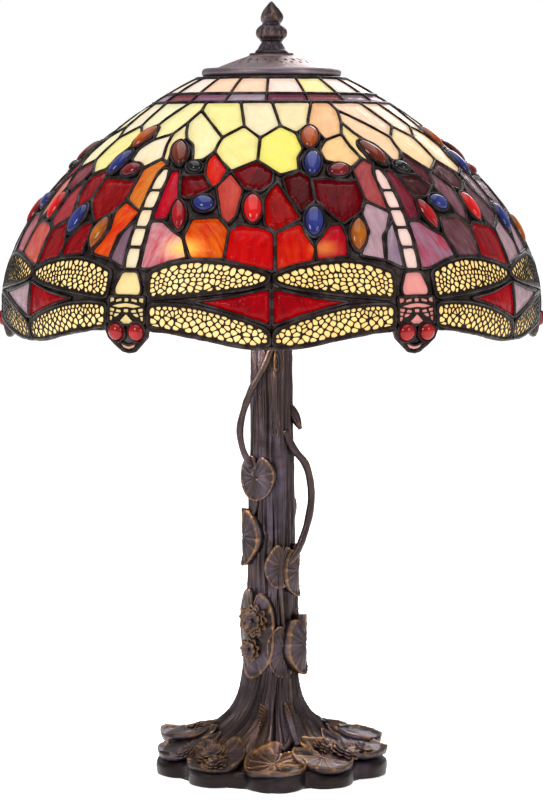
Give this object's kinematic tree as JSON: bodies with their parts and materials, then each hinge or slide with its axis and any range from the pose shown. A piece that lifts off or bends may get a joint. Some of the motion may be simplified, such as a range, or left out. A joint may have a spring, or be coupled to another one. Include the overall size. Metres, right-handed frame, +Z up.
{
  "type": "table lamp",
  "caption": "Table lamp with a domed leaded-glass dragonfly shade on a cast tree-trunk base with vines, lily leaves and a lily-pad foot.",
  "frame": {"origin": "centre of the felt pad's underside, where the lamp rests", "axes": "+Z up the trunk to the finial, -Y towards the front of the lamp, +X to the right seen from the front"},
  "size_m": [0.4162, 0.4178, 0.6],
  "materials": {
    "antique_bronze": "cast zinc alloy with a dark antique-bronze patina, rubbed to copper and gold on raised edges",
    "brass": "turned brass, lightly tarnished",
    "zinc_plated_steel": "zinc-plated steel, satin",
    "green_felt": "dense wool felt, matt",
    "ballast_iron": "rough cast iron, unpainted",
    "porcelain": "white glazed porcelain",
    "lit_bulb_glass": "frosted glass, lit warm white",
    "lead_came": "lead-tin solder with a black-brown patina, beaded, silvery on the crests",
    "crown_glass": "opaque streaky art glass, pinkish mauve to ivory, glossy and lightly rippled",
    "cream_glass": "opaque streaky art glass, cream to amber, glossy and lightly rippled",
    "red_glass": "streaky art glass, dark ruby to orange red, glossy",
    "wing_glass": "opaque cream-yellow art glass under a pierced filigree overlay",
    "pierced_filigree": "pierced sheet brass with a near-black patina",
    "cabochon_glass": "pressed and fire-polished clear coloured glass, domed"
  },
  "bodies": {
    "root": {"trunk_base_casting": "antique_bronze", "felt_pad": "green_felt", "ballast_disc": "ballast_iron", "cord_inlet_bush": "brass", "lamp_pipe": "zinc_plated_steel", "pipe_washer": "zinc_plated_steel", "pipe_nut": "zinc_plated_steel", "trunk_top_cup": "antique_bronze", "cluster_hub": "brass", "cluster_arm_front": "brass", "cluster_arm_back": "brass", "socket_body_front": "porcelain", "socket_body_back": "porcelain", "socket_shell_front": "brass", "socket_shell_back": "brass", "riser_coupling": "brass", "riser_rod": "zinc_plated_steel", "shade_seat_disc": "zinc_plated_steel", "shade_seat_nut": "zinc_plated_steel", "finial_washer": "antique_bronze"},
    "shade": {"vent_cap": "antique_bronze", "shade_crown_ring": "brass", "shade_leading": "lead_came", "shade_rim_bead": "lead_came", "crown_glass_1": "crown_glass", "crown_glass_2": "crown_glass", "crown_glass_3": "crown_glass", "crown_glass_4": "crown_glass", "crown_glass_5": "crown_glass", "crown_glass_6": "crown_glass", "cream_glass_1": "cream_glass", "cream_glass_2": "cream_glass", "cream_glass_3": "cream_glass", "cream_glass_4": "cream_glass", "cream_glass_5": "cream_glass", "cream_glass_6": "cream_glass", "red_glass_1": "red_glass", "red_glass_2": "red_glass", "red_glass_3": "red_glass", "red_glass_4": "red_glass", "red_glass_5": "red_glass", "red_glass_6": "red_glass", "diamond_glass_1": "red_glass", "diamond_glass_2": "red_glass", "diamond_glass_3": "red_glass", "diamond_glass_4": "red_glass", "diamond_glass_5": "red_glass", "diamond_glass_6": "red_glass", "dragonfly_1": "wing_glass", "dragonfly_2": "wing_glass", "dragonfly_3": "wing_glass", "dragonfly_4": "wing_glass", "dragonfly_5": "wing_glass", "dragonfly_6": "wing_glass"},
    "finial_core": {"finial_insert": "brass"},
    "finial_shell": {"finial": "antique_bronze"},
    "bulb_front_core": {"bulb_cap_front": "zinc_plated_steel"},
    "bulb_front_shell": {"bulb_globe_front": "lit_bulb_glass"},
    "bulb_back_core": {"bulb_cap_back": "zinc_plated_steel"},
    "bulb_back_shell": {"bulb_globe_back": "lit_bulb_glass"}
  },
  "joints": [
    {"name": "shade_swivel", "type": "hinge", "parent": "root", "child": "shade", "pos_m": [0, 0, 0.45], "axis": [0, 0, 1], "continuous": true},
    {"name": "finial_rise", "type": "slide", "parent": "root", "child": "finial_core", "axis": [0, 0, 1], "range_m": [0, 0.01]},
    {"name": "finial_turn", "type": "hinge", "parent": "finial_core", "child": "finial_shell", "pos_m": [0, 0, 0.58], "axis": [0, 0, 1], "range_deg": [0, 3600]},
    {"name": "bulb_front_out", "type": "slide", "parent": "root", "child": "bulb_front_core", "axis": [-0.6209, -0.7399, 0.2588], "range_m": [0, 0.0182]},
    {"name": "bulb_front_turn", "type": "hinge", "parent": "bulb_front_core", "child": "bulb_front_shell", "pos_m": [0, 0, 0.385], "axis": [-0.6209, -0.7399, 0.2588], "range_deg": [0, 1800]},
    {"name": "bulb_back_out", "type": "slide", "parent": "root", "child": "bulb_back_core", "axis": [0.6209, 0.7399, 0.2588], "range_m": [0, 0.0182]},
    {"name": "bulb_back_turn", "type": "hinge", "parent": "bulb_back_core", "child": "bulb_back_shell", "pos_m": [0, 0, 0.385], "axis": [0.6209, 0.7399, 0.2588], "range_deg": [0, 1800]}
  ],
  "couplings": [
    {"joint": "finial_rise", "follows": "finial_turn", "m_per_rad": 0.00015915},
    {"joint": "bulb_front_out", "follows": "bulb_front_turn", "m_per_rad": 0.00057757},
    {"joint": "bulb_back_out", "follows": "bulb_back_turn", "m_per_rad": 0.00057757}
  ]
}
